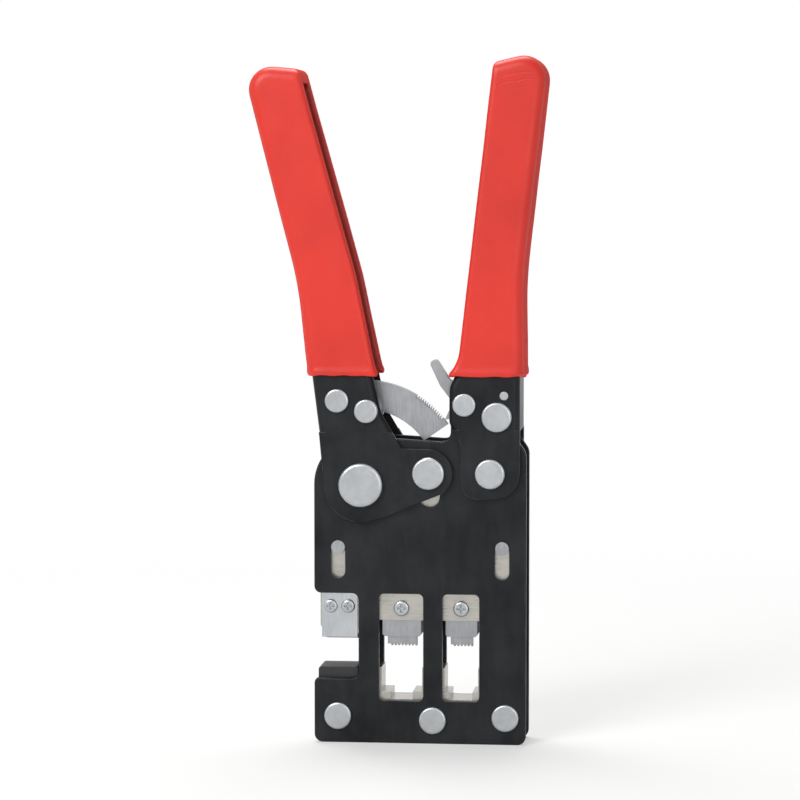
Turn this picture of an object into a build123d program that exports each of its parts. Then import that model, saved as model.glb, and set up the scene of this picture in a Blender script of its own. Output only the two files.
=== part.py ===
from build123d import *
import os
from math import atan2, cos, degrees, hypot, radians, sin

# RJ45 crimping tool, millimetres. +Z runs from the flat nose up to the handle tips, +X is towards the fixed
# handle and -Y is the front. The origin is the centre of the nose face. The handles are modelled open.

# Clearances
slip = 0.1          # side play of everything that slides on a plate
seat = 0.02         # play of a pin in the part it is fixed to
fit = 0.05          # gap between the vinyl and the sheet inside it
run = 0.05          # radial running play

# Head: two flat frame plates with the dies and the ram between them
plate_sheet = 2.0
die_gap = 11.5
plate_in = die_gap / 2
plate_out = plate_in + plate_sheet
head_half = 31.0
plate_break = 0.35
ram_half = plate_in - slip
die_half = plate_in - fit

# Handles: U stampings open towards each other, dipped in soft vinyl
handle_sheet = 1.8
cheek_in = plate_out + slip
cheek_out = cheek_in + handle_sheet
coat = 1.35
inner_coat = 1.0
grip_half = cheek_out + coat
sheet_bend = 2.0
web_edge, free_edge = sheet_bend + coat, 1.25
mouth = 5.5
grip_start = 107.0

# Main pivot and the short arm that drives the ram
crown = 14.0
pivot = (crown - head_half, 76.0)
swing = 20.0
pivot_r = 4.0
pivot_head = (6.5, 2.2)
sleeve_r = 6.0
boss, arm_end = 11.0, 7.0
arm = 20.0
drive_r = 3.0
drive_head = (4.75, 1.6)
drive = (pivot[0] + arm * cos(radians(swing / 2)), pivot[1] + arm * sin(radians(swing / 2)))
drive_mid_x = pivot[0] + arm * (1 + cos(radians(swing / 2))) / 2
stroke = 2 * arm * sin(radians(swing / 2))

# Dies: name, centre x, nest width, window width, and how many contacts each crimps
nest_floor = 15.0
die_top = 22.0
tab_floor = 12.7
tab_width = 6.5
ports = [("8p", -5.5, 11.9, 13.0), ("6p", 12.0, 9.8, 10.8)]
contact_count = {"8p": 8, "6p": 6}
contact_pitch = 1.02
crimp_height = 5.6
tooth_tip = nest_floor + crimp_height + stroke
window_low, window_high = 12.5, 44.0

# Ram: beam over the dies, wings at both sides, tongue up to the drive pin
ram_low = 36.0
guide_r = 2.0
guide_x, guide_z = head_half - 7, 57.5
shoulder = guide_z + 3.5
ram_reach = head_half - 1.5
tongue_half = 7.15
tongue_top = drive[1] + 7.5
punch_block = 4.8
stem_half, stem_length = 2.5, 7.5
punch_screw_r, punch_screw_rise = 1.4, 3.6

# Cutter and stripper at the open left side of the head
throat_x = 13 - head_half
anvil_low = die_top - 5
throat_low, throat_high = anvil_low + 2, window_high
blade_t = 0.8
blade_bevel = 1.5
blade_low_x, blade_high_x = 2 - head_half, throat_x - 0.5
blade_top = throat_high + 2
cutter_edge = die_top + stroke + fit
stripper_edge = cutter_edge + 1.8
blade_screw_r = 1.2
blade_screws_at = [(blade_low_x + 2.7, throat_high - 4), (blade_high_x - 2.7, throat_high - 4)]

# Return spring and its seats
spring_x, spring_r, spring_wire, spring_turns = head_half - 6.3, 3.0, 0.9, 12
spring_low, spring_high = die_top - 10, guide_z - 3.5
wing_low = spring_high - 6

# Fixed handle: outer face of its web, and the rivets through the frame
web_x = head_half - 1.8
fixed_web_end, moving_web_end = 92.0, 91.0
flange_x = pivot[0] + arm + arm_end + 2
rivet_r = 2.5
nose_rivets_at = [(7 - head_half, 8.0), (3.8, 7.0), (head_half - 6, 8.0)]
handle_rivets_at = [((flange_x + web_x) / 2, 79.5), (web_x - 6.7, 96.0)]
handle_sleeve_r = 3.6

# Ratchet: pawl on the frame by the fixed handle, sector on the moving handle with its tooth tips at the nose
pawl_at = (web_x - 16.14, pivot[1] + 23.49)
pawl_nose, nose_clear = 8.0, 0.15
pawl_half = 2.0
pawl_pin_r, pawl_hub = 2.0, 3.8
pawl_radius = hypot(pawl_at[0] - pivot[0], pawl_at[1] - pivot[1])
pawl_clock = degrees(atan2(pawl_at[0] - pivot[0], pawl_at[1] - pivot[1]))
sector_out = pawl_radius - pawl_nose - nose_clear
sector_in, sector_half = sector_out - 8.5, 1.5
sector_rivets_at = [(pivot[0] - 7.0, pivot[1] + 24.5), (pivot[0] + 1.5, pivot[1] + 21.5)]
sector_rivet_r, sector_sleeve_r, lobe = 2.0, 3.3, 4.2
tooth_pitch, tooth_depth, teeth = 1.5, 1.1, 13
first_tooth = pawl_clock - (teeth + 1) * tooth_pitch
anchor_r, post_r, eye_r = 1.25, 0.9, 1.62
tail_at = (pawl_at[0] + 4.9, pawl_at[1] + 5.0)
anchor_at = (web_x - handle_sheet - eye_r - 1.2, pawl_at[1] + 2.7)


# Point at a radius and an angle from straight up, about the main pivot
def clock(radius, degrees_from_up):
    angle = radians(degrees_from_up)
    return pivot[0] + radius * sin(angle), pivot[1] + radius * cos(angle)


# A front-view outline from corners (x, z, corner radius)
def outline(corners):
    points = [(x, z) for x, z, r in corners]
    return make_face(FilletPolyline(points, radius=[r for x, z, r in corners], close=True))


def slab(face, y_low, y_high):
    return extrude(Plane.XZ.offset(-y_high) * face, amount=y_high - y_low)


def rod(at, r, y_low, y_high):
    return slab(Pos(*at) * Circle(r), y_low, y_high)


def box(x0, x1, y0, y1, z0, z1):
    return Pos((x0 + x1) / 2, (y0 + y1) / 2, (z0 + z1) / 2) * Box(x1 - x0, y1 - y0, z1 - z0)


def tube(at, r_out, r_in, y_low, y_high):
    return slab(Pos(*at) * (Circle(r_out) - Circle(r_in)), y_low, y_high)


# A through rivet or pin with a domed head on each side
def headed(at, r, half, head):
    body = rod(at, r, -half, half)
    for side in (-1, 1):
        low, high = sorted((side * half, side * (half + head[1])))
        cap = rod(at, head[0], low, high)
        rim = cap.edges().filter_by(GeomType.CIRCLE).sort_by(Axis.Y)[-1 if side > 0 else 0]
        body += fillet(rim, head[1] * 0.45)
    return body


def save(name, *shapes):
    export_step(Compound([solid for shape in shapes for solid in shape.solids()]), f"parts/{name}.step")


os.makedirs("parts", exist_ok=True)

# Frame plates: nose, throat for the blades, pivot crown and the tang inside the fixed handle
tang_left, tang_right, tang_top = pawl_at[0] - 4.06, web_x - handle_sheet - 2 * slip, pawl_at[1] + 5.5
frame = outline([
    (-head_half, 0, 2.5), (head_half, 0, 2.5), (head_half, fixed_web_end - 6.5, 4),
    (tang_right, fixed_web_end - 1, 3), (tang_right, tang_top, 2.5), (tang_left, tang_top, 2.5),
    (tang_left, pivot[1] + crown - 1.6, 3), (pivot[0], pivot[1] + crown, 0), (-head_half, pivot[1], 0),
    (-head_half, throat_high, 2), (throat_x, throat_high, 2), (throat_x, throat_low, 2),
    (-head_half, throat_low, 1.5),
])
frame += Pos(*pivot) * Circle(crown)
for name, centre, nest, wide in ports:
    middle = (window_low + window_high) / 2
    frame -= Pos(centre, middle) * RectangleRounded(wide, window_high - window_low, 1.5)
frame -= SlotArc(CenterArc(pivot, arm, -swing / 2, swing), 2 * (drive_r + slip))
for x in (-guide_x, guide_x):
    frame -= Pos(x, guide_z - stroke / 2) * Rot(0, 0, 90) * SlotCenterToCenter(stroke, 2 * (guide_r + slip))
for at in nose_rivets_at + handle_rivets_at:
    frame -= Pos(*at) * Circle(rivet_r + seat)
frame -= Pos(*pivot) * Circle(pivot_r + seat)
frame -= Pos(*pawl_at) * Circle(pawl_pin_r + seat)
frame -= Pos(*anchor_at) * Circle(anchor_r + seat)
rear = slab(frame, plate_in, plate_out)
rear = chamfer(rear.faces().sort_by(Axis.Y)[-1].outer_wire().edges(), plate_break)
save("rear_plate", rear)
save("front_plate", mirror(rear, Plane.XZ))

# Die block: both plug nests with their latch channels, the spring seat and the step for the anvil
die_end = head_half - 0.8
die = slab(outline([
    (-die_end, 0, 2), (die_end, 0, 2), (die_end, die_top, 1), (throat_x + 2, die_top, 1),
    (throat_x + 2, anvil_low, 0), (-die_end, anvil_low, 1),
]), -die_half, die_half)
for name, centre, nest, wide in ports:
    die -= box(centre - nest / 2, centre + nest / 2, -die_half, die_half, nest_floor, die_top)
    die -= box(centre - tab_width / 2, centre + tab_width / 2, -die_half, die_half, tab_floor, nest_floor)
    # flared entry at the front
    entry = (wide - nest) / 2
    die -= box(centre - wide / 2, centre + wide / 2, -die_half, entry - die_half, nest_floor, die_top)
for at in nose_rivets_at:
    die -= rod(at, rivet_r + seat, -die_half, die_half)
die -= Pos(spring_x, 0, (spring_low + die_top) / 2) * Cylinder(spring_r + 2 * slip, die_top - spring_low)
save("die_block", die)

anvil = box(1 - head_half, throat_x - 0.4, -die_half, die_half, anvil_low, die_top)
anvil = fillet(anvil.edges().filter_by(Axis.Y).group_by(Axis.Z)[-1], 0.8)
save("cut_anvil", anvil)
save("nose_rivets", *[headed(at, rivet_r, plate_out, (4.0, 1.4)) for at in nose_rivets_at])

# Ram: blade wing, punch beam, spring wing and the slotted tongue that the drive pin moves
tongue_left, tongue_right = drive_mid_x - tongue_half, drive_mid_x + tongue_half
wing_x = spring_x - spring_r - 1.2
ram = slab(outline([
    (-ram_reach, ram_low - 2.5, 1), (throat_x + 0.4, ram_low - 2.5, 0.6), (throat_x + 0.4, ram_low, 0),
    (wing_x, ram_low, 1.5), (wing_x, wing_low, 1.5), (ram_reach, wing_low, 1), (ram_reach, shoulder, 1.5),
    (tongue_right, shoulder, 2), (tongue_right, tongue_top, 4.5), (tongue_left, tongue_top, 4.5),
    (tongue_left, shoulder, 2), (-ram_reach, shoulder, 1.5),
]), -ram_half, ram_half)
pin_drift = 2 * (drive_mid_x - drive[0]) + 2 * run
drive_slot = SlotCenterToCenter(pin_drift, 2 * (drive_r + run))
ram -= slab(Pos(drive_mid_x, drive[1]) * drive_slot, -ram_half, ram_half)
ram_face = ram_half - blade_t
for low, high in ((ram_face, ram_half), (-ram_half, -ram_face)):
    ram -= box(-ram_reach, blade_high_x + 3 * slip, low, high, ram_low - 2.5, blade_top + 3 * slip)
for x in (-guide_x, guide_x):
    ram -= rod((x, guide_z), guide_r + seat, -ram_half, ram_half)
ram -= Pos(spring_x, 0, (wing_low + spring_high) / 2) * Cylinder(spring_r + 2 * slip, spring_high - wing_low)
stem_top = ram_low + stem_length
punch_screw_z = ram_low + punch_screw_rise
for name, centre, nest, wide in ports:
    hole = stem_half + run
    ram -= box(centre - hole, centre + hole, -hole, hole, ram_low, stem_top + run)
    ram -= rod((centre, punch_screw_z), punch_screw_r + seat, -ram_half, ram_half)
for at in blade_screws_at:
    ram -= rod(at, blade_screw_r + seat, -ram_half, ram_half)
save("ram", ram)
guide_half = plate_out - slip
save("ram_guide_pins", *[rod((x, guide_z), guide_r, -guide_half, guide_half) for x in (-guide_x, guide_x)])

# Punches: contact teeth towards the back, strain-relief bar towards the front
for name, centre, nest, wide in ports:
    body_half = nest / 2 - 0.25
    block_low = ram_low - punch_block
    punch = box(centre - body_half, centre + body_half, -5.2, 5.2, block_low, ram_low)
    punch = chamfer(punch.edges().filter_by(Axis.Y).group_by(Axis.Z)[0], 0.6)
    punch += box(centre - stem_half, centre + stem_half, -stem_half, stem_half, ram_low, stem_top)
    for i in range(contact_count[name]):
        x = centre + (i - (contact_count[name] - 1) / 2) * contact_pitch
        punch += box(x - 0.27, x + 0.27, 1.6, 3.6, tooth_tip, block_low)
    bar = body_half - 1.4
    punch += box(centre - bar, centre + bar, -3.8, -1.8, tooth_tip + 1.25, block_low)
    punch -= rod((centre, punch_screw_z), punch_screw_r + seat, -stem_half, stem_half)
    save(f"punch_{name}", punch)


# A pan-head screw along Y, head outwards on the given side, with a cross recess
def screw(at, r, head_r, head_h, face, depth, side):
    low, high = sorted((side * (face - depth), side * face))
    shank = rod(at, r, low, high)
    low, high = sorted((side * face, side * (face + head_h)))
    head = rod(at, head_r, low, high)
    rim = head.edges().filter_by(GeomType.CIRCLE).sort_by(Axis.Y)[-1 if side > 0 else 0]
    head = fillet(rim, head_h * 0.5)
    for turn in (0, 90):
        low, high = sorted((side * (face + head_h * 0.4), side * (face + head_h + 0.1)))
        head -= slab(Pos(*at) * Rot(0, 0, turn) * Rectangle(head_r * 1.1, 0.5), low, high)
    return shank + head


through = 2 * ram_half - 0.4
save("punch_screws", *[screw((centre, punch_screw_z), punch_screw_r, 2.3, 1.3, ram_half, through, -1)
                       for name, centre, nest, wide in ports])

# Blades: one cutting edge at the back, the shorter stripping edge at the front
for name, edge, side in (("cutter_blade", cutter_edge, 1), ("stripper_blade", stripper_edge, -1)):
    inner, outer = side * ram_face, side * ram_half
    blade = Plane.YZ.offset(blade_low_x) * make_face(Polyline(
        [(inner, blade_top), (outer, blade_top), (outer, edge), (inner, edge + blade_bevel)], close=True))
    blade = extrude(blade, amount=blade_high_x - blade_low_x)
    for at in blade_screws_at:
        low, high = sorted((inner, outer))
        blade -= rod(at, blade_screw_r + seat, low, high)
    save(name, blade)
save("blade_screws", *[screw(at, blade_screw_r, 2.0, 1.2, ram_half, 4.0, side)
                       for at in blade_screws_at for side in (-1, 1)])

# Return spring between its seat in the die block and the one in the ram
coil = spring_r - spring_wire / 2
rise = spring_high - spring_low - spring_wire
path = Helix(rise / spring_turns, rise, coil, center=(spring_x, 0, spring_low + spring_wire / 2))
section = Plane(origin=path @ 0, z_dir=path % 0) * RegularPolygon(spring_wire / 2, 8)
save("return_spring", sweep(section, path))

# Main pivot with its spacer, and the drive pin
save("main_pivot_pin", headed(pivot, pivot_r, cheek_out + slip, pivot_head))
save("pivot_sleeve", tube(pivot, sleeve_r, pivot_r + seat, -die_half, die_half))
save("drive_pin", headed(drive, drive_r, cheek_out, drive_head))

# Fixed handle from its ears up to the tip, as its web side and its free side: x from the web's outer face
web_side = [(0, 72, 8), (0, 117, 0), (-0.3, 136, 110), (7.1, 200.55, 5.45)]
free_side = [(-6.77, 197.31, 0.8), (-16.6, 112.5, 15)]
fixed_web = [(web_x + x, z, r) for x, z, r in web_side]
fixed_free = [(web_x + x, z, r) for x, z, r in free_side] + [
    (pawl_at[0] - 4.46, 104.5, 6), (pawl_at[0] - 4.46, 94, 3), (flange_x, 88.5, 4), (flange_x, 72, 5)]
# Moving handle from the pivot up to the tip: x and z from the pivot
web_side = [(0, 0, 0), (-boss, 1, 0), (-12.2, 14, 0), (-15, 36, 60), (-17.3, 58, 110), (-33.4, 120.65, 5.45)]
free_side = [(-19.17, 119.34, 0.8), (-2.7, 60.5, 90), (2.2, 37, 60), (5.7, 21, 14), (14, 7, 0)]
moving_web = [(pivot[0] + x, pivot[1] + z, r) for x, z, r in web_side]
moving_free = [(pivot[0] + x, pivot[1] + z, r) for x, z, r in free_side]


# Both sides are listed from the web's foot up round the tip and down again
def moved(corners, step):
    return [(x + step.X, z + step.Y, r) for x, z, r in corners]


# The step across a handle along the end of its tip, from the web's corner towards the free one
def step_across(web, free, length):
    return (Vector(*free[0][:2]) - Vector(*web[-1][:2])).normalized() * length


# Half planes above and below a height, wider than the whole tool
far = 8 * head_half


def above(z):
    return Pos(0, z + far / 2) * Rectangle(far, far)


def below(z):
    return Pos(0, z - far / 2) * Rectangle(far, far)


# The hollow between the cheeks: inset from the web and the tip, run out past the free inner edge
def hollow_of(profile, inset, out):
    face = offset(profile, -inset)
    return face + Pos(*out) * face


# The edges of a slab's front and back faces above a height
def rims(body, half, low):
    return [edge for edge in body.edges()
            if abs(abs(edge.center().Y) - half) < 0.01 and edge.center().Z > low + 0.1]


# Folds a sheet: the web runs along the outer edge and round the tip, the cheeks are open at the inner edge
def channel(profile, out, web_end, on_web):
    upper = slab(profile & above(web_end), -cheek_out, cheek_out)
    bends = [edge for edge in rims(upper, cheek_out, web_end) if on_web(edge.center().X, edge.center().Z)]
    upper = fillet(bends, sheet_bend)
    hollow = hollow_of(profile, handle_sheet, out) + below(web_end)
    body = slab(profile - above(web_end + 0.2), -cheek_out, cheek_out) + upper
    return body - slab(hollow, -cheek_in, cheek_in)


# The vinyl's outside with its rims rounded
def dip(corners, rim_r):
    body = slab(offset(outline(corners), coat) & above(grip_start), -grip_half, grip_half)
    return fillet(rims(body, grip_half, grip_start), rim_r)


# Vinyl over the outside, the free edges and the inside of the channel: rounder along the web than along
# the free edges, so its outside is what two rounded slabs share, one wide of the free side, one of the web
def grip(web, free, out):
    profile = outline(web + free)
    wide = web + moved(free[:1], out) + moved(web[:1], 6 * out)
    body = dip(wide, web_edge) & dip(moved(web, -out) + free, free_edge)
    sheet = slab(offset(profile, fit), -cheek_out - fit, cheek_out + fit)
    sheet -= slab(hollow_of(profile, handle_sheet + fit, out), -cheek_in + fit, cheek_in - fit)
    lined = cheek_in - inner_coat
    return body - sheet - slab(hollow_of(profile, handle_sheet + inner_coat, out), -lined, lined)


fixed_profile = outline(fixed_web + fixed_free)
fixed_out = step_across(fixed_web, fixed_free, mouth)


def on_fixed_web(x, z):
    return z > 198 or x > web_x - 10 + (z - fixed_web_end) * 0.1


fixed = channel(fixed_profile, fixed_out, fixed_web_end, on_fixed_web)
for at in handle_rivets_at:
    fixed -= rod(at, rivet_r + seat, -cheek_out, cheek_out)
fixed -= rod(pawl_at, pawl_pin_r + seat, -cheek_out, cheek_out)
fixed -= rod(anchor_at, anchor_r + seat, -cheek_out, cheek_out)
save("fixed_channel", fixed)
save("fixed_grip", grip(fixed_web, fixed_free, fixed_out))
save("handle_rivets", *[headed(at, rivet_r, cheek_out, (4.4, 1.5)) for at in handle_rivets_at])
save("handle_sleeves", *[tube(at, handle_sleeve_r, rivet_r + seat, -die_half, die_half)
                         for at in handle_rivets_at])

moving_profile = outline(moving_web + moving_free) + make_hull(
    (Pos(*pivot) * Circle(boss)).edges() + (Pos(*drive) * Circle(arm_end)).edges())
moving_out = step_across(moving_web, moving_free, mouth)


def on_moving_web(x, z):
    return z > 195.6 or x < pivot[0] - 5 - (z - moving_web_end) * 0.2


moving = channel(moving_profile, moving_out, moving_web_end, on_moving_web)
moving -= rod(pivot, pivot_r + run, -cheek_out, cheek_out)
moving -= rod(drive, drive_r + seat, -cheek_out, cheek_out)
for at in sector_rivets_at:
    moving -= rod(at, sector_rivet_r + seat, -cheek_out, cheek_out)
save("moving_channel", moving)
save("moving_grip", grip(moving_web, moving_free, moving_out))

# Ratchet sector on the moving handle, with saw teeth along part of its rim
sector = Pos(*pivot) * (Circle(sector_out) - Circle(sector_in))
wedge = [pivot] + [clock(2 * sector_out, a) for a in (-8, 25, pawl_clock + 3)]
sector = sector & make_face(Polyline(wedge, close=True))
for i in range(teeth):
    start = first_tooth + i * tooth_pitch
    sector -= make_face(Polyline([
        clock(sector_out + 0.2, start), clock(sector_out + 0.2, start + tooth_pitch * 0.94),
        clock(sector_out - tooth_depth, start + tooth_pitch * 0.75)], close=True))
sector += make_hull(sum([(Pos(*at) * Circle(lobe)).edges() for at in sector_rivets_at], ShapeList()))
for at in sector_rivets_at:
    sector -= Pos(*at) * Circle(sector_rivet_r + seat)
save("ratchet_sector", slab(sector, -sector_half, sector_half))
save("sector_rivets", *[headed(at, sector_rivet_r, cheek_out, (3.5, 1.3)) for at in sector_rivets_at])
sector_gap = cheek_in - sector_half - 2 * seat
save("sector_sleeves", *[tube(at, sector_sleeve_r, sector_rivet_r + seat, low, low + sector_gap)
                         for at in sector_rivets_at for low in (sector_half + seat, seat - cheek_in)])

# Pawl: hub on its pin, nose just off the tooth tips, finger tab between the handles and a tail for its spring
nose_at = clock(pawl_radius - pawl_nose, pawl_clock)
reach = [(-1.56, -3, 0), (1.44, 2, 0), (-5.06, 7, 2), (-8.86, 13, 1.2), (-10.86, 11.8, 1.2), (-7.66, 5, 2)]
finger = outline([(pawl_at[0] + x, pawl_at[1] + z, r) for x, z, r in reach])
cheek = [(1.44, -3.3, 0), (0.44, 2.5, 0), (-3.56, 1.1, 0)]
beak = outline([(*nose_at, 0)] + [(pawl_at[0] + x, pawl_at[1] + z, r) for x, z, r in cheek])
tail = make_hull((Pos(*pawl_at) * Circle(3.2)).edges() + (Pos(*tail_at) * Circle(1.9)).edges())
pawl = slab(finger + beak + tail, -pawl_half, pawl_half)
pawl += rod(pawl_at, pawl_hub, -ram_half, ram_half)
pawl -= rod(pawl_at, pawl_pin_r + run, -plate_in, plate_in)
pawl += rod(tail_at, post_r, pawl_half, pawl_half + 2.6)
save("ratchet_pawl", pawl)
save("pawl_pin", headed(pawl_at, pawl_pin_r, cheek_out, (3.4, 1.2)))
save("spring_anchor_pin", rod(anchor_at, anchor_r, -cheek_out, cheek_out))

# Pawl spring: an eye round each post and close coils between them
wire_r, hook_y, coil_r, turns = 0.22, pawl_half + 1.4, 1.2, 7
start = Vector(tail_at[0], hook_y, tail_at[1])
span = Vector(anchor_at[0] - tail_at[0], 0, anchor_at[1] - tail_at[1])
along = span.normalized()
eyes = [Pos(*post) * Rot(90, 0, 0) * Torus(eye_r, wire_r) for post in (start, start + span)]
coil_length = span.length - 2 * eye_r + 0.2
path = Helix(coil_length / turns, coil_length, coil_r,
             center=tuple(start + along * (eye_r - 0.1)), direction=tuple(along))
wire = Plane(origin=path @ 0, z_dir=path % 0) * RegularPolygon(wire_r, 6)
save("pawl_spring", *eyes, sweep(wire, path))
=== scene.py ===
import bmesh
import bpy
import math
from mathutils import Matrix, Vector, noise
from mathutils.bvhtree import BVHTree


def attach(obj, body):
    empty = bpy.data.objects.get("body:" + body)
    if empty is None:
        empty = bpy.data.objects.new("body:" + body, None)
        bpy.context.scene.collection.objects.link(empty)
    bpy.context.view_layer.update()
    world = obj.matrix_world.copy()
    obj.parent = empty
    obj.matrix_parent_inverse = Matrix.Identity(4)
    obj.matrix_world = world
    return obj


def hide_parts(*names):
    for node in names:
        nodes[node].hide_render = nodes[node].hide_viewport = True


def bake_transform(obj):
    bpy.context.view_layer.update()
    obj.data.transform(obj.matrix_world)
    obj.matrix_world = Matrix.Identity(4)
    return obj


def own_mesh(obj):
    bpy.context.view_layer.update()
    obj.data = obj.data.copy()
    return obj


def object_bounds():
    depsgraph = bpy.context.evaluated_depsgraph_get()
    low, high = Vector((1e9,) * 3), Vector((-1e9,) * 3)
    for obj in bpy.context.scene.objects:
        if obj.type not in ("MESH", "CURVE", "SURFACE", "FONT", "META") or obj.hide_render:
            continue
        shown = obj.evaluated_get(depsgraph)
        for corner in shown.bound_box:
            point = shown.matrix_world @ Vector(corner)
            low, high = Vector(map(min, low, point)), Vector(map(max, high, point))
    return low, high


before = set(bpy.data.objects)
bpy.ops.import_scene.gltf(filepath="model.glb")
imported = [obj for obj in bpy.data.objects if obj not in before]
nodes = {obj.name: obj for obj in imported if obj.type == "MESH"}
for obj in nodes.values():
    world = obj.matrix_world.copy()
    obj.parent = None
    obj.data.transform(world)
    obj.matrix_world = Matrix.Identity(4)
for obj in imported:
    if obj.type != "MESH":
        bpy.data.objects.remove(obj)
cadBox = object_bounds()
print("frame loaded,", len(nodes), "nodes")


def linear(hexText):
    values = [int(hexText[i:i + 2], 16) / 255 for i in (1, 3, 5)]
    return [v / 12.92 if v <= 0.04045 else ((v + 0.055) / 1.055) ** 2.4 for v in values] + [1.0]


# A link may name a node, whose first output is used, or one of its sockets
def addNode(tree, kind, values=(), links=(), **settings):
    node = tree.nodes.new("ShaderNode" + kind)
    for name, value in settings.items():
        setattr(node, name, value)
    for socket, value in dict(values).items():
        node.inputs[socket].default_value = value
    for socket, source in dict(links).items():
        tree.links.new(source.outputs[0] if hasattr(source, "outputs") else source, node.inputs[socket])
    return node


def newMaterial(name):
    material = bpy.data.materials.new(name)
    material.use_nodes = True
    tree = material.node_tree
    tree.nodes.clear()
    return material, tree, addNode(tree, "TexCoord").outputs["Object"]


# Object coordinates are metres, so a scale of 1000 / size in mm gives one feature of that size
def perMm(sizeMm):
    return 1000.0 / sizeMm


# 1 where a thing is looked at, mirrored or seen through, and 0 for the light that it gives off
def addSeen(tree):
    rays = addNode(tree, "LightPath")
    direct = addNode(tree, "Math", links={0: rays.outputs["Is Camera Ray"],
                                          1: rays.outputs["Is Glossy Ray"]}, operation="MAXIMUM")
    return addNode(tree, "Math", links={0: direct, 1: rays.outputs["Is Transmission Ray"]},
                   operation="MAXIMUM")


def smoothObject(name, bm, material):
    mesh = bpy.data.meshes.new(name)
    bm.to_mesh(mesh)
    bm.free()
    for polygon in mesh.polygons:
        polygon.use_smooth = True
    mesh.materials.append(material)
    item = bpy.data.objects.new(name, mesh)
    bpy.context.scene.collection.objects.link(item)
    return item


# Most of a noise texture's values lie between these two
noiseLow = 0.3
noiseHigh = 0.7


# Plasticised PVC, dipped and cured in an oven: bright red, half glossy, gently uneven where it ran
# before it set. Inside the channel a dark red is painted in as shade, the more so the more enclosed.
vinyl = {
    "light": "#dc2b1b", "deep": "#ca2314", "inside": "#620d07",
    "mottleMm": 22, "mottleDetail": 3.0, "mottleLow": 0.2, "mottleHigh": 0.62,
    "flowMm": 5, "flowStretch": 0.16, "peelMm": 1.6, "peelDetail": 1.0, "peelShare": 0.25,
    "ior": 1.5, "smooth": 0.36, "rough": 0.46, "bump": 0.22, "bumpDepth": 0.0006,
    "edgeOnRough": 0.95, "edgeOnStart": 0.55, "edgeOnFull": 0.85,
    "glowThrough": 0.05, "glowReach": (0.004, 0.001, 0.0008), "glowScale": 0.6,
}

# Fine curved puckers across the fixed handle, just under its tip
pucker = {
    "centre": (0.0285, -0.011, 0.1932), "tilt": math.radians(9), "bow": 14.0, "spacing": 0.0021,
    "halfWidth": 0.0068, "halfHeight": 0.0036, "wanderMm": 5, "wander": 5.0,
    "sharpness": 6.0, "depth": 0.8, "fadeStart": 0.2, "fadeEnd": 1.0,
}


def addPuckers(tree, place, height):
    offset = addNode(tree, "VectorMath", {1: pucker["centre"]}, {0: place}, operation="SUBTRACT")
    turned = addNode(tree, "VectorRotate", {"Axis": (0, 1, 0), "Angle": pucker["tilt"]}, {"Vector": offset},
                     rotation_type="AXIS_ANGLE")
    parts = addNode(tree, "SeparateXYZ", links={0: turned})
    across, along = parts.outputs["X"], parts.outputs["Z"]
    squared = addNode(tree, "Math", links={0: across, 1: across}, operation="MULTIPLY")
    bowed = addNode(tree, "Math", {1: pucker["bow"]}, {0: squared, 2: along}, operation="MULTIPLY_ADD")
    wander = addNode(tree, "TexNoise", {"Scale": perMm(pucker["wanderMm"])}, {"Vector": place})
    shifted = addNode(tree, "Math", {1: pucker["wander"]}, {0: wander}, operation="MULTIPLY")
    phase = addNode(tree, "Math", {1: 2 * math.pi / pucker["spacing"]}, {0: bowed, 2: shifted},
                    operation="MULTIPLY_ADD")
    wave = addNode(tree, "Math", links={0: phase}, operation="SINE")
    crest = addNode(tree, "Math", {1: 0.0}, {0: wave}, operation="MAXIMUM")
    line = addNode(tree, "Math", {1: pucker["sharpness"]}, {0: crest}, operation="POWER")
    size = {1: (1 / pucker["halfWidth"], 0, 1 / pucker["halfHeight"])}
    reach = addNode(tree, "VectorMath", size, {0: turned}, operation="MULTIPLY")
    radius = addNode(tree, "VectorMath", links={0: reach}, operation="LENGTH").outputs["Value"]
    patch = addNode(tree, "MapRange", {"From Min": pucker["fadeEnd"], "From Max": pucker["fadeStart"]},
                    {"Value": radius}, interpolation_type="SMOOTHSTEP")
    faded = addNode(tree, "Math", links={0: line, 1: patch}, operation="MULTIPLY")
    return addNode(tree, "Math", {1: -pucker["depth"]}, {0: faded, 2: height}, operation="MULTIPLY_ADD")


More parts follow.
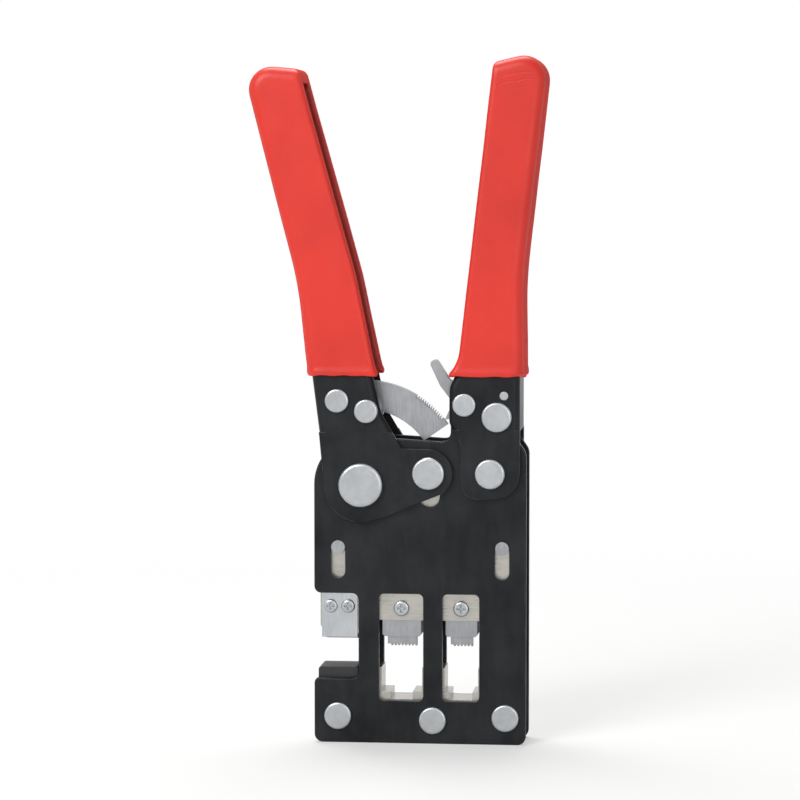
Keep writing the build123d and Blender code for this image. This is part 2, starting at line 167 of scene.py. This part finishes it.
def makeDippedVinyl(name, puckered):
    material, tree, place = newMaterial(name)
    mottle = addNode(tree, "TexNoise", {"Scale": perMm(vinyl["mottleMm"]), "Detail": vinyl["mottleDetail"]},
                     {"Vector": place})
    spread = addNode(tree, "MapRange", {"From Min": vinyl["mottleLow"], "From Max": vinyl["mottleHigh"]},
                     {"Value": mottle})
    outside = addNode(tree, "Mix", {"A": linear(vinyl["deep"]), "B": linear(vinyl["light"])},
                      {"Factor": spread}, data_type="RGBA")
    # Painted shade: dark red mixed in where the channel encloses the surface
    paintedShadeShare = addNode(tree, "Attribute", attribute_name="inside").outputs["Fac"]
    colour = addNode(tree, "Mix", {"B": linear(vinyl["inside"])},
                     {"Factor": paintedShadeShare, "A": outside.outputs["Result"]}, data_type="RGBA")
    drawnOut = addNode(tree, "Mapping", {"Scale": (1, 1, vinyl["flowStretch"])}, {"Vector": place})
    flow = addNode(tree, "TexNoise", {"Scale": perMm(vinyl["flowMm"])}, {"Vector": drawnOut})
    peel = addNode(tree, "TexNoise", {"Scale": perMm(vinyl["peelMm"]), "Detail": vinyl["peelDetail"]},
                   {"Vector": place})
    height = addNode(tree, "Mix", {"Factor": vinyl["peelShare"]}, {"A": flow, "B": peel})
    if puckered:
        height = addPuckers(tree, place, height)
    bump = addNode(tree, "Bump", {"Strength": vinyl["bump"], "Distance": vinyl["bumpDepth"]},
                   {"Height": height})
    faceGloss = addNode(tree, "MapRange", {"From Min": noiseLow, "From Max": noiseHigh,
                                           "To Min": vinyl["smooth"], "To Max": vinyl["rough"]},
                        {"Value": flow})
    # Soft vinyl loses its shine where it is seen edge on
    turnedAway = addNode(tree, "LayerWeight").outputs["Facing"]
    edgeOn = addNode(tree, "MapRange", {"From Min": vinyl["edgeOnStart"], "From Max": vinyl["edgeOnFull"]},
                     {"Value": turnedAway})
    gloss = addNode(tree, "Mix", {"B": vinyl["edgeOnRough"]}, {"Factor": edgeOn, "A": faceGloss})
    shader = addNode(tree, "BsdfPrincipled",
                     {"IOR": vinyl["ior"], "Subsurface Weight": vinyl["glowThrough"],
                      "Subsurface Radius": vinyl["glowReach"], "Subsurface Scale": vinyl["glowScale"]},
                     {"Base Color": colour.outputs["Result"], "Roughness": gloss, "Normal": bump})
    addNode(tree, "OutputMaterial", links={"Surface": shader})
    return material


# Mild steel sheet, stamped and chemically blackened: near black and satin, a little oil sheen, cloudy
# where the bath was uneven, with steel showing through along rubbed edges.
# The real grain is about 0.1 mm, drawn coarser so that it shows.
blackSheet = {
    "dark": "#161719", "worn": "#292b2e", "edge": "#77797c", "cloudMm": 14, "cloudDetail": 5.0,
    "rubMm": 3, "rubDetail": 3.0, "rubDistortion": 0.6, "rubStretch": 0.25, "rubShare": 0.3,
    "toneLow": 0.35, "toneHigh": 0.72, "grainMm": 0.7, "smooth": 0.34, "rough": 0.52, "metal": 0.7,
    "bump": 0.16, "bumpDepth": 0.0002, "edgeRadius": 0.00035, "edgeSamples": 6, "edgeStart": 0.03,
    "edgeFull": 0.30, "patchMm": 6, "patchDetail": 4.0, "patchLow": 0.42, "patchHigh": 0.62,
}


def makeBlackOxide():
    material, tree, place = newMaterial("blackOxideSteel")
    cloud = addNode(tree, "TexNoise", {"Scale": perMm(blackSheet["cloudMm"]),
                                       "Detail": blackSheet["cloudDetail"]}, {"Vector": place})
    drawnOut = addNode(tree, "Mapping", {"Scale": (1, 1, blackSheet["rubStretch"])}, {"Vector": place})
    rub = addNode(tree, "TexNoise", {"Scale": perMm(blackSheet["rubMm"]), "Detail": blackSheet["rubDetail"],
                                     "Distortion": blackSheet["rubDistortion"]}, {"Vector": drawnOut})
    tone = addNode(tree, "Mix", {"Factor": blackSheet["rubShare"]}, {"A": cloud, "B": rub})
    spread = addNode(tree, "MapRange", {"From Min": blackSheet["toneLow"],
                                        "From Max": blackSheet["toneHigh"]}, {"Value": tone})
    flat = addNode(tree, "Mix", {"A": linear(blackSheet["dark"]), "B": linear(blackSheet["worn"])},
                   {"Factor": spread}, data_type="RGBA")
    rounded = addNode(tree, "Bevel", {"Radius": blackSheet["edgeRadius"]},
                      samples=blackSheet["edgeSamples"])
    facing = addNode(tree, "NewGeometry").outputs["Normal"]
    agree = addNode(tree, "VectorMath", links={0: rounded, 1: facing},
                    operation="DOT_PRODUCT").outputs["Value"]
    nearEdge = addNode(tree, "MapRange", {"From Min": 1 - blackSheet["edgeStart"],
                                          "From Max": 1 - blackSheet["edgeFull"]}, {"Value": agree})
    patches = addNode(tree, "TexNoise", {"Scale": perMm(blackSheet["patchMm"]),
                                         "Detail": blackSheet["patchDetail"]}, {"Vector": place})
    rubbedPart = addNode(tree, "MapRange", {"From Min": blackSheet["patchLow"],
                                            "From Max": blackSheet["patchHigh"]}, {"Value": patches})
    bare = addNode(tree, "Math", links={0: nearEdge, 1: rubbedPart}, operation="MULTIPLY")
    colour = addNode(tree, "Mix", {"B": linear(blackSheet["edge"])},
                     {"Factor": bare, "A": flat.outputs["Result"]}, data_type="RGBA")
    gloss = addNode(tree, "MapRange", {"From Min": noiseLow, "From Max": noiseHigh,
                                       "To Min": blackSheet["smooth"], "To Max": blackSheet["rough"]},
                    {"Value": tone})
    grain = addNode(tree, "TexNoise", {"Scale": perMm(blackSheet["grainMm"])}, {"Vector": place})
    bump = addNode(tree, "Bump", {"Strength": blackSheet["bump"], "Distance": blackSheet["bumpDepth"]},
                   {"Height": grain, "Normal": rounded})
    shader = addNode(tree, "BsdfPrincipled", {"Metallic": blackSheet["metal"]},
                     {"Base Color": colour.outputs["Result"], "Roughness": gloss, "Normal": bump})
    addNode(tree, "OutputMaterial", links={"Surface": shader})
    return material


# Bright metals. Marks run across or along the part as the tool left them, and catch the light in
# thin streaks. Real marks are 0.02 to 0.1 mm apart, drawn coarser so that they show.
metals = {
    # electroless nickel on milled steel: warm grey, soft lines from the cutter
    "nickelPlatedSteel": {"light": "#bfbdb6", "dark": "#a3a19a", "smooth": 0.24, "rough": 0.36,
                          "marksMm": 0.5, "stretch": (0.12, 1, 1), "bump": 0.18, "edgeRadius": 0.00012},
    # hardened and surface ground: cooler and duller, upright grinding lines
    "groundToolSteel": {"light": "#a9abae", "dark": "#8b8d90", "smooth": 0.28, "rough": 0.42,
                        "marksMm": 0.4, "stretch": (1, 1, 0.1), "bump": 0.18, "edgeRadius": 0.00008},
    # ground and lapped blades: the brightest metal on the tool
    "groundBladeSteel": {"light": "#c9cccf", "dark": "#b0b3b7", "smooth": 0.16, "rough": 0.28,
                         "marksMm": 0.3, "stretch": (1, 1, 0.08), "bump": 0.18, "edgeRadius": 0.00008},
    # bright zinc on headed rivets and screws: pale, cool and almost even
    "zincPlatedSteel": {"light": "#bcbfc1", "dark": "#a7aaad", "smooth": 0.27, "rough": 0.34,
                        "marksMm": 1.6, "stretch": (1, 1, 1), "bump": 0.05, "edgeRadius": 0.0003},
    # hard drawn spring wire: grey, with a light polish from the die
    "drawnSpringWire": {"light": "#b9bbbe", "dark": "#94979a", "smooth": 0.22, "rough": 0.34,
                        "marksMm": 0.5, "stretch": (1, 1, 0.3), "bump": 0.1, "edgeRadius": 0.0001},
}
# What all the bright metals share
metalSurface = {
    "cloudMm": 9, "cloudDetail": 4.0, "marksDetail": 3.0, "marksShare": 0.45, "bumpDepth": 0.0001,
    "edgeSamples": 4,
}


def makeBrightMetal(name):
    look = metals[name]
    material, tree, place = newMaterial(name)
    drawnOut = addNode(tree, "Mapping", {"Scale": look["stretch"]}, {"Vector": place})
    marks = addNode(tree, "TexNoise", {"Scale": perMm(look["marksMm"]),
                                       "Detail": metalSurface["marksDetail"]}, {"Vector": drawnOut})
    cloud = addNode(tree, "TexNoise", {"Scale": perMm(metalSurface["cloudMm"]),
                                       "Detail": metalSurface["cloudDetail"]}, {"Vector": place})
    tone = addNode(tree, "Mix", {"Factor": metalSurface["marksShare"]}, {"A": cloud, "B": marks})
    spread = addNode(tree, "MapRange", {"From Min": noiseLow, "From Max": noiseHigh}, {"Value": tone})
    colour = addNode(tree, "Mix", {"A": linear(look["dark"]), "B": linear(look["light"])},
                     {"Factor": spread}, data_type="RGBA")
    gloss = addNode(tree, "MapRange", {"From Min": noiseLow, "From Max": noiseHigh,
                                       "To Min": look["smooth"], "To Max": look["rough"]}, {"Value": tone})
    rounded = addNode(tree, "Bevel", {"Radius": look["edgeRadius"]}, samples=metalSurface["edgeSamples"])
    bump = addNode(tree, "Bump", {"Strength": look["bump"], "Distance": metalSurface["bumpDepth"]},
                   {"Height": marks, "Normal": rounded})
    shader = addNode(tree, "BsdfPrincipled", {"Metallic": 1.0},
                     {"Base Color": colour.outputs["Result"], "Roughness": gloss, "Normal": bump})
    addNode(tree, "OutputMaterial", links={"Surface": shader})
    return material


# Nylon 6, injection moulded in a spark-eroded mould: black, matt, with a faint even grain.
# The real grain is about 0.05 mm, drawn coarser so that it shows.
nylonAnvil = {"dark": "#141415", "light": "#1f2021", "grainMm": 0.6, "ior": 1.53, "smooth": 0.5,
              "rough": 0.62, "bump": 0.2, "bumpDepth": 0.0001}


def makeNylon():
    material, tree, place = newMaterial("mouldedNylon")
    grain = addNode(tree, "TexNoise", {"Scale": perMm(nylonAnvil["grainMm"])}, {"Vector": place})
    spread = addNode(tree, "MapRange", {"From Min": noiseLow, "From Max": noiseHigh}, {"Value": grain})
    colour = addNode(tree, "Mix", {"A": linear(nylonAnvil["dark"]), "B": linear(nylonAnvil["light"])},
                     {"Factor": spread}, data_type="RGBA")
    gloss = addNode(tree, "MapRange", {"To Min": nylonAnvil["smooth"], "To Max": nylonAnvil["rough"]},
                    {"Value": grain})
    bump = addNode(tree, "Bump", {"Strength": nylonAnvil["bump"], "Distance": nylonAnvil["bumpDepth"]},
                   {"Height": grain})
    shader = addNode(tree, "BsdfPrincipled", {"IOR": nylonAnvil["ior"]},
                     {"Base Color": colour.outputs["Result"], "Roughness": gloss, "Normal": bump})
    addNode(tree, "OutputMaterial", links={"Surface": shader})
    return material


finishes = {
    makeBlackOxide(): ["front_plate", "rear_plate", "fixed_channel", "moving_channel"],
    makeBrightMetal("nickelPlatedSteel"): ["die_block", "ram"],
    makeBrightMetal("groundToolSteel"): ["punch_8p", "punch_6p", "ratchet_sector", "ratchet_pawl",
                                         "ram_guide_pins"],
    makeBrightMetal("groundBladeSteel"): ["cutter_blade", "stripper_blade"],
    makeBrightMetal("zincPlatedSteel"): ["nose_rivets", "handle_rivets", "handle_sleeves",
                                         "main_pivot_pin", "pivot_sleeve", "drive_pin", "punch_screws",
                                         "blade_screws", "sector_rivets", "sector_sleeves", "pawl_pin",
                                         "spring_anchor_pin"],
    makeNylon(): ["cut_anvil"],
}
for finish, names in finishes.items():
    for name in names:
        mesh = nodes[name].data
        mesh.materials.clear()
        mesh.materials.append(finish)
print("metals and nylon made,", len(finishes), "finishes")


# A CAD node's triangles joined into one sheet. It is a copy, and the node stays as it is.
weldWithin = 1e-6


def weldedCopy(node):
    bm = bmesh.new()
    bm.from_mesh(nodes[node].data)
    bmesh.ops.remove_doubles(bm, verts=bm.verts, dist=weldWithin)
    return bm


# Vinyl skins: each grip's own form, its edges melted a little, with an uneven bead where the dip ends
dipSkin = {
    "voxel": 0.0005, "meltSteps": 4, "melt": 0.5,
    "end": 0.107, "beadHeight": 0.0032, "beadAt": 0.35, "beadSpread": 0.4, "bead": 0.00028,
    "wave": 0.0007, "waveLength": 0.005, "waveFade": 2.0, "sag": 0.0002, "sagLength": 0.016,
    "slotReach": 0.02, "slotLean": 0.9, "blurSteps": 2,
}


def meltedCopy(node):
    bm = weldedCopy(node)
    mesh = bpy.data.meshes.new(node + "Rough")
    bm.to_mesh(mesh)
    bm.free()
    rough = bpy.data.objects.new(node + "Rough", mesh)
    bpy.context.scene.collection.objects.link(rough)
    remesh = rough.modifiers.new("remesh", "REMESH")
    remesh.mode = "VOXEL"
    remesh.voxel_size = dipSkin["voxel"]
    even = bpy.data.meshes.new_from_object(rough.evaluated_get(bpy.context.evaluated_depsgraph_get()))
    bpy.data.objects.remove(rough)
    bm = bmesh.new()
    bm.from_mesh(even)
    for step in range(dipSkin["meltSteps"]):
        bmesh.ops.smooth_vert(bm, verts=bm.verts, factor=dipSkin["melt"], use_axis_x=True, use_axis_y=True,
                              use_axis_z=True)
    return bm


# Marks where shade is painted into the channel: how enclosed each point is, by looking outwards
# from it in five directions: 1 down in the channel, 0 on the outside
def markPaintedShade(bm):
    bm.normal_update()
    layer = bm.verts.layers.float.new("inside")
    around = BVHTree.FromBMesh(bm)
    lean = dipSkin["slotLean"]
    leans = [Vector(v) for v in ((0, 0, 0), (lean, 0, 0), (-lean, 0, 0), (0, lean, 0), (0, -lean, 0))]
    for vertex in bm.verts:
        ways = [(vertex.normal + turn).normalized() for turn in leans]
        met = [around.ray_cast(vertex.co + way * dipSkin["voxel"], way, dipSkin["slotReach"])[0]
               for way in ways]
        vertex[layer] = sum(point is not None for point in met) / len(met)
    for step in range(dipSkin["blurSteps"]):
        blurred = [sum(edge.other_vert(vertex)[layer] for edge in vertex.link_edges)
                   / len(vertex.link_edges) for vertex in bm.verts]
        for vertex, value in zip(bm.verts, blurred):
            vertex[layer] = value


# The vinyl's uneven sag only goes inwards, and the bead stands out a little where the dip ends
def makeSkin(name, node, material):
    bm = meltedCopy(node)
    # Records how much painted shade each point of the channel gets
    markPaintedShade(bm)
    for vertex in bm.verts:
        rise = (vertex.co.z - dipSkin["end"]) / dipSkin["beadHeight"]
        sag = dipSkin["sag"] * (noise.noise(vertex.co / dipSkin["sagLength"]) - 1) / 2
        bead = dipSkin["bead"] * math.exp(-((rise - dipSkin["beadAt"]) / dipSkin["beadSpread"]) ** 2)
        wander = 1 + noise.noise(Vector((vertex.co.x, vertex.co.y, 0)) / dipSkin["waveLength"])
        vertex.co += vertex.normal * (sag + bead)
        vertex.co.z += dipSkin["wave"] * wander * min(1.0, max(0.0, 1 - rise / dipSkin["waveFade"]))
    return smoothObject(name, bm, material)


fixedHandleSkin = makeSkin("fixedHandleSkin", "fixed_grip", makeDippedVinyl("dippedVinylFixed", True))
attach(fixedHandleSkin, "frame")
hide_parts("fixed_grip")

movingHandleSkin = makeSkin("movingHandleSkin", "moving_grip", makeDippedVinyl("dippedVinylMoving", False))
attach(movingHandleSkin, "moving_handle")
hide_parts("moving_grip")
print("vinyl skins made,", len(fixedHandleSkin.data.polygons), "and",
      len(movingHandleSkin.data.polygons), "faces")


# The return spring stands on the die block; its welded copy is held by the frame
springWire = makeBrightMetal("drawnSpringWire")
returnSpring = smoothObject("returnSpring", weldedCopy("return_spring"), springWire)
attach(returnSpring, "frame")
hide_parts("return_spring")
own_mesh(returnSpring)

# The pawl spring, a welded copy with its placing baked into its mesh
pawlSpring = smoothObject("pawlSpring", weldedCopy("pawl_spring"), springWire)
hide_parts("pawl_spring")
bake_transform(pawlSpring)
print("springs made")


# Pale paper sweep: floor in front, curved up behind
paperSweep = {
    "halfWidth": 2.2, "front": -2.2, "back": 0.9, "bend": 0.7, "bendSteps": 24, "top": 2.4,
    "tone": "#f6f6f5", "nearWhite": 0.35, "nearEdge": 0.10, "farEdge": 0.55,
}


# Matt seamless paper. Away from the tool it is seen as plain white, and near it the soft shadow stays.
def makePaper():
    material, tree, place = newMaterial("seamlessPaper")
    paper = addNode(tree, "BsdfDiffuse", {"Color": linear(paperSweep["tone"])})
    white = addNode(tree, "Emission", {"Color": (1, 1, 1, 1), "Strength": 1.0})
    away = addNode(tree, "VectorMath", links={0: place}, operation="LENGTH").outputs["Value"]
    whiteness = addNode(tree, "MapRange",
                        {"From Min": paperSweep["nearEdge"], "From Max": paperSweep["farEdge"],
                         "To Min": paperSweep["nearWhite"], "To Max": 1.0}, {"Value": away},
                        interpolation_type="SMOOTHSTEP")
    share = addNode(tree, "Math", links={0: addSeen(tree), 1: whiteness}, operation="MULTIPLY")
    both = addNode(tree, "MixShader", links={0: share, 1: paper, 2: white})
    addNode(tree, "OutputMaterial", links={"Surface": both})
    return material


def makeSweep():
    bm = bmesh.new()
    bmesh.ops.create_grid(bm, x_segments=1, y_segments=1, size=1.0)
    for vertex in bm.verts:
        vertex.co.x *= paperSweep["halfWidth"]
        vertex.co.y = paperSweep["back"] if vertex.co.y > 0 else paperSweep["front"]
    rear = [edge for edge in bm.edges if all(vertex.co.y > 0 for vertex in edge.verts)]
    spun = bmesh.ops.spin(bm, geom=rear, cent=(0, paperSweep["back"], paperSweep["bend"]), axis=(1, 0, 0),
                          dvec=(0, 0, 0), angle=math.pi / 2, steps=paperSweep["bendSteps"], use_merge=False)
    last = [item for item in spun["geom_last"] if isinstance(item, bmesh.types.BMEdge)]
    raised = bmesh.ops.extrude_edge_only(bm, edges=last)["geom"]
    raisedVerts = [item for item in raised if isinstance(item, bmesh.types.BMVert)]
    bmesh.ops.translate(bm, vec=(0, 0, paperSweep["top"]), verts=raisedVerts)
    return smoothObject("studioSweep", bm, makePaper())


studioSweep = makeSweep()

lamps = {
    "keyLamp": {"at": (-0.50, -0.90, 0.70), "size": 0.55, "power": 7.6},
    "fillLamp": {"at": (0.45, -1.10, 0.10), "size": 0.60, "power": 2.2},
    "topLamp": {"at": (-0.10, 0.30, 0.95), "size": 0.50, "power": 6.0},
}
lampAim = Vector((0, 0, 0.10))
for name, lamp in lamps.items():
    data = bpy.data.lights.new(name, "AREA")
    data.shape = "SQUARE"
    data.size = lamp["size"]
    data.energy = lamp["power"]
    item = bpy.data.objects.new(name, data)
    item.location = lamp["at"]
    item.rotation_euler = (lampAim - Vector(lamp["at"])).to_track_quat("-Z", "Y").to_euler()
    bpy.context.scene.collection.objects.link(item)


# White where it is looked at or mirrored, and a dim soft light everywhere else
roomLight = 0.30


def makeRoom():
    room = bpy.data.worlds.new("paleRoom")
    bpy.context.scene.world = room
    room.use_nodes = True
    tree = room.node_tree
    tree.nodes.clear()
    strength = addNode(tree, "MapRange", {"To Min": roomLight, "To Max": 1.0}, {"Value": addSeen(tree)})
    white = addNode(tree, "Background", {"Color": (1, 1, 1, 1)}, {"Strength": strength})
    addNode(tree, "OutputWorld", links={"Surface": white})


makeRoom()

shot = {"azimuth": 6.0, "elevation": 4.0, "distance": 0.95, "lens": 146.0}
low, high = (Vector(corner) for corner in cadBox)
centre = (low + high) / 2
turn, lift = math.radians(shot["azimuth"]), math.radians(shot["elevation"])
towardsCamera = Vector((math.sin(turn) * math.cos(lift), -math.cos(turn) * math.cos(lift), math.sin(lift)))
camera = bpy.data.objects.new("camera", bpy.data.cameras.new("camera"))
camera.data.lens = shot["lens"]
camera.location = centre + towardsCamera * shot["distance"]
camera.rotation_euler = (-towardsCamera).to_track_quat("-Z", "Y").to_euler()
bpy.context.scene.collection.objects.link(camera)
bpy.context.scene.camera = camera
bpy.context.scene.view_settings.view_transform = "Standard"
print("sweep, lamps and camera set")
